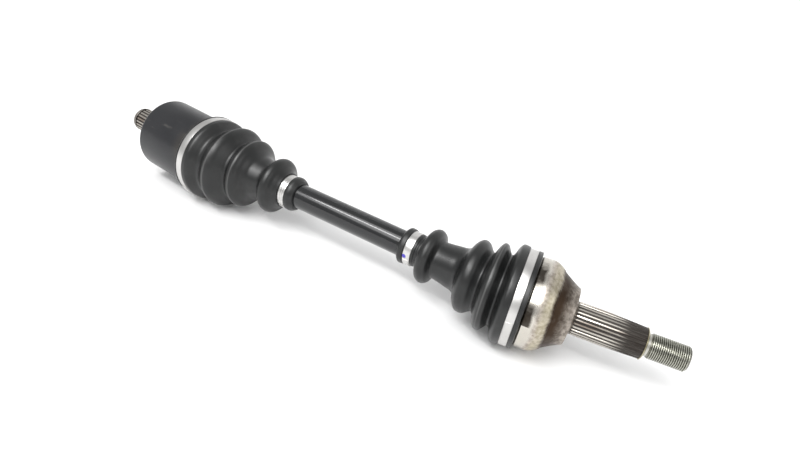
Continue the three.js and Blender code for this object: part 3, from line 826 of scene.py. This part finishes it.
def make_inner_boot():
    bore = cup_seat_radius + 0.3
    land = band_radius - under_band
    seam = 51
    folds = [
        (29.4, 39.6), (32.4, 39.2), (36, 36.2), (39.8, 33.4), (43.6, 34), (47.6, 37.2), (seam, 39),
        (55.2, 37), (58.8, 32.4), (62.4, 28.8), (64.6, 29.2), (67.3, 31.7), (70.4, 32.6),
        (73.7, 30.4), (76.8, 25.4), (80.2, 21.8),
        (84.6, 20.2), (91, 18.8), (95.4, 20.6), (98, 24.9), (101.6, 26.2),
        (105.4, 24.6), (108.2, 20), (110.6, 17.4),
    ]
    line = flowing(folds, 6)
    under = [(x, radius - boot_wall) for x, radius in line]
    crests = [(seam, 39), (70.4, 32.6)]
    start, end = inner_band
    collar = rounded([
        (start - 1.6, bore),
        (start - 1.6, band_radius + 0.3, 0.5),
        (start - 0.15, band_radius + 0.3, 0.4),
        (start - 0.15, land),
        (end + 0.15, land),
        (end + 0.15, 39.5, 0.5),
        folds[0],
    ])
    mouth = [(start - 1.6, bore), (cup_mouth + 1.5, bore), (cup_mouth + 2.5, bore + 1)]
    bend = (0, inner_bend, 76, 30)
    large_outer = collar[1:] + cut_line(line, folds[0][0] + 0.1, seam)
    large_inner = mouth + cut_line(under, cup_mouth + 3, seam)
    boot_piece("inner_boot_mouth", large_outer, large_inner, crests, bend,
               INNER_RUBBER, "inner_boot")
    cuff_land = inner_cuff_radius - under_band
    start, end = inner_cuff
    cuff = rounded([
        folds[-1],
        (start - 0.15, 16.4, 0.4),
        (start - 0.15, cuff_land),
        (end + 0.15, cuff_land),
        (end + 0.15, 15.9, 0.5),
        (end + 4, 16.2, 1.6),
        (end + 8.1, 13.6, 0.8),
        (end + 8.5, bar_radius + 0.15),
    ])
    small_outer = cut_line(line, seam, folds[-1][0] - 0.1) + cuff
    small_inner = cut_line(under, seam, 108) + [(start, bar_radius + 0.2)]
    boot_piece("inner_boot_folds", small_outer, small_inner, crests, bend,
               INNER_RUBBER, "inner_boot")


def make_outer_boot():
    bore = bell_seat_radius + 0.3
    land = band_radius - under_band
    lip = joint_span + bell_seat_end - 0.3
    start, end = (at + joint_span for at in outer_band)
    seam = 321
    folds = [
        (257.4, 14.2), (258.8, 18.6), (261, 22.4), (264.8, 24), (268.8, 22.2), (271, 18.4), (273.4, 16.4),
        (279, 17),
        (286, 18.1), (292, 19.2), (295.8, 22), (298.4, 27.6), (301.4, 30.8),
        (304, 31.4), (307.6, 30.2), (311, 27), (313.6, 25.4),
        (315.4, 27.4), (317.2, 32.6), (319.2, 35.7), (seam, 36.5), (323.6, 35.6), (326.2, 32),
        (328.2, 29.8),
        (330, 31), (331.8, 36.4), (333.8, 40), (336, 41), (338.8, 40.7),
    ]
    line = flowing(folds, 6)
    under = [(x, radius - boot_wall) for x, radius in line]
    crests = [(seam, 36.5)]
    bend = (joint_span, outer_bend, 294, 335)
    collar = rounded([
        folds[-1],
        (start - 0.15, 40.4, 0.5),
        (start - 0.15, land),
        (end + 0.15, land),
        (end + 0.15, 39.7, 0.4),
        (lip - 0.4, 39.7, 0.8),
        (lip, 38.8, 0.6),
        (lip, bore),
    ])
    mouth = [(joint_span + bell_mouth - 0.4, bore + 1.6), (joint_span + bell_mouth, bore)]
    large_outer = cut_line(line, seam, folds[-1][0] - 0.1) + collar
    large_inner = cut_line(under, seam, 335.2) + mouth
    boot_piece("outer_boot_mouth", large_outer, large_inner, crests, bend,
               OUTER_RUBBER, "outer_boot")
    cuff_land = outer_cuff_radius - under_band
    start, end = outer_cuff
    cuff = rounded([
        (start - 6.4, bar_radius + 0.15),
        (start - 6.4, 13.4, 0.6),
        (start - 4.4, 16, 1.5),
        (start - 0.15, 15.5, 0.5),
        (start - 0.15, cuff_land),
        (end + 0.15, cuff_land),
        (end + 0.15, 14.3, 0.4),
        (end + 2, 14.3, 0.6),
        (end + 2.8, 13.6, 0.5),
        (end + 3.8, 13.6, 0.5),
        (end + 4.6, 14.3, 0.5),
        folds[0],
    ])
    small_outer = cuff[1:] + cut_line(line, folds[0][0] + 0.1, seam)
    on_bar = [(start - 6.3, bar_radius + 0.2), (end + 5, bar_radius + 0.2)]
    small_inner = on_bar + cut_line(under, 259, seam)
    boot_piece("outer_boot_folds", small_outer, small_inner, crests, bend,
               OUTER_RUBBER, "outer_boot")


# ---- Band clamps ----

def make_band(name, place, body, start, end, radius, finish, tail_from, tail_degrees, ear_at=None):
    """A rolled steel band with a lapped outer end and, where ear_at gives its azimuth, a crimped ear."""
    inner = radius - band_thickness
    middle = (start + end) / 2
    ring = [(start, inner + 0.3), (start, radius, 0.3)]
    if ear_at is not None:
        for groove in (start + 2.3, end - 2.3):
            ring += [(groove - 0.5, radius, 0.2), (groove, radius - 0.35, 0.2), (groove + 0.5, radius, 0.2)]
    ring += [(end, radius, 0.3), (end, inner, 0.2), (start, inner, 0.2), (start, inner + 0.3)]
    bm = spun(rounded(ring, 3)[:-1], 144, closed=True)

    def crimped(x, at_radius, azimuth):
        if ear_at is None or at_radius < inner + 0.2:
            return at_radius
        off = (math.degrees(azimuth) - ear_at + 180) % 360 - 180
        return at_radius + 1.1 * math.exp(-(off / 7) ** 2 - ((x - middle) / 2.4) ** 4)

    reshape(bm, crimped)
    made(name + "_hoop", bm, place, body, finish, [name])
    bm = bmesh.new()
    bmesh.ops.create_grid(bm, x_segments=1, y_segments=1, size=0.5)
    width = end - start - 1
    thickness = 0.65
    lift = radius + thickness / 2 - 0.12
    bm.transform(Matrix((
        (width * MM, 0, 0, middle * MM),
        (0, 0, 0, 0),
        (0, thickness * MM, 0, lift * MM),
        (0, 0, 0, 1),
    )))
    bm.transform(Matrix.Rotation(math.radians(tail_from - 90), 4, "X"))
    steps = max(int(tail_degrees / 3), 4)
    bmesh.ops.spin(bm, geom=bm.faces[:], cent=(0, 0, 0), axis=(1, 0, 0), angle=math.radians(tail_degrees),
                   steps=steps)
    bmesh.ops.remove_doubles(bm, verts=bm.verts, dist=1e-6)
    tail = made(name + "_tail", bm, place, body, finish, [name])
    soften = tail.modifiers.new("soft edges", "BEVEL")
    soften.width = 0.16 * MM
    soften.segments = 2


# ---- The axle ----

make_inner_cup()
make_bell()
make_stub()
make_thread()
make_bar()
make_inner_boot()
make_outer_boot()
make_band("inner_large_band", ON_INNER, "inner_joint", *inner_band, band_radius, INNER_BAND_STEEL, 215, 46)
make_band("inner_small_band", ON_BAR, "bar", *inner_cuff, inner_cuff_radius, CUFF_BAND_STEEL, 222, 70, 205)
make_band("outer_small_band", ON_BAR, "bar", *outer_cuff, outer_cuff_radius, MARKED_BAND_STEEL, 200, 70)
make_band("outer_large_band", ON_OUTER, "outer_joint", *outer_band, band_radius, OUTER_BAND_STEEL, 180, 46)
make_race("inner_race", ON_BAR, inner_race_radius, race_half_width, inner_pitch,
          inner_ball_radius + inner_track_play, False)
make_race("outer_race", Matrix.Translation(outer_centre), outer_race_radius, race_half_width, outer_pitch,
          outer_ball_radius + outer_track_play, True)
make_balls("inner", ON_INNER_CAGE, inner_pitch, inner_ball_radius, ["inner_cage"] * 6)
outer_carriers = ["outer_pivot_balls", "outer_cage", "outer_cage"] * 2
make_balls("outer", ON_OUTER_CAGE, outer_pitch, outer_ball_radius, outer_carriers)
ring_bore = bar_spline_radius - 1.3
make_split_ring("inner_race_ring", ON_BAR, "bar", -race_half_width - 2.2, race_ring_width, ring_bore,
                race_ring_radius, 0)
make_split_ring("outer_race_ring", ON_BAR, "bar", joint_span + race_half_width + 0.9, race_ring_width,
                ring_bore, race_ring_radius, 0)
make_split_ring("inner_stub_ring", ON_INNER, "inner_joint", -inner_stub_end + 2.9, 1.6,
                inner_stub_radius - 1.7, inner_stub_radius - 0.1, 0)
make_split_ring("inner_snap_ring", ON_INNER, "inner_joint", 23.4, 1.6, 25.4, 28.1, math.pi)
for name in ("inner_cage", "outer_cage"):
    cage = frame["nodes"][name]
    cage.data.materials.clear()
    cage.data.materials.append(CAGE_STEEL)

# ---- Floor, light and camera ----

bm = bmesh.new()
bmesh.ops.create_grid(bm, x_segments=1, y_segments=1, size=60)
floor = made("floor", bm, Matrix.Translation((0, 0, CAD_BOX[0].z)), None, floor_white())
bm = bmesh.new()
bmesh.ops.create_grid(bm, x_segments=1, y_segments=1, size=60)
upright_at = Matrix.Translation((0, 50, 50)) @ Matrix.Rotation(math.radians(90), 4, "X")
backdrop = made("backdrop", bm, upright_at, None, floor_white())


def area_light(name, at, aim, size, power):
    light = bpy.data.lights.new(name, "AREA")
    light.shape = "RECTANGLE"
    light.size, light.size_y = size
    light.energy = power
    lamp = bpy.data.objects.new(name, light)
    lamp.location = at
    lamp.rotation_euler = (Vector(aim) - Vector(at)).to_track_quat("-Z", "Y").to_euler()
    bpy.context.scene.collection.objects.link(lamp)


def soft_key(towards, strength, spread):
    """A broad, even light from one side, so far off that it lights the whole floor alike."""
    light = bpy.data.lights.new("key", "SUN")
    light.energy = strength
    light.angle = math.radians(spread)
    lamp = bpy.data.objects.new("key", light)
    lamp.rotation_euler = Vector(towards).to_track_quat("-Z", "Y").to_euler()
    bpy.context.scene.collection.objects.link(lamp)


soft_key((0.1, 0.6, -0.77), 2.2, 54)
area_light("key strip", (-0.15, -0.85, 1.15), (0.05, 0, 0.03), (1.3, 0.12), 9)
area_light("wheel end fill", (1.5, -0.3, 0.7), (0.2, 0, 0), (0.8, 0.8), 3)

world = bpy.data.worlds.new("white room")
bpy.context.scene.world = world
world.use_nodes = True
world.node_tree.nodes["Background"].inputs["Color"].default_value = (1, 1, 1, 1)
world.node_tree.nodes["Background"].inputs["Strength"].default_value = 0.6
bpy.context.scene.view_settings.view_transform = "Standard"

eye = inner_centre + Vector((0.40867, -0.41265, 0.24452))
looking = Vector((-0.3522, 0.8181, -0.4547))
lean = math.radians(13.1)
camera_data = bpy.data.cameras.new("camera")
camera_data.sensor_width = 36
camera_data.lens = 27
camera = bpy.data.objects.new("camera", camera_data)
upright = looking.to_track_quat("-Z", "Y").to_matrix().to_4x4()
camera.matrix_world = Matrix.Translation(eye) @ upright @ Matrix.Rotation(lean, 4, "Z")
bpy.context.scene.collection.objects.link(camera)
bpy.context.scene.camera = camera
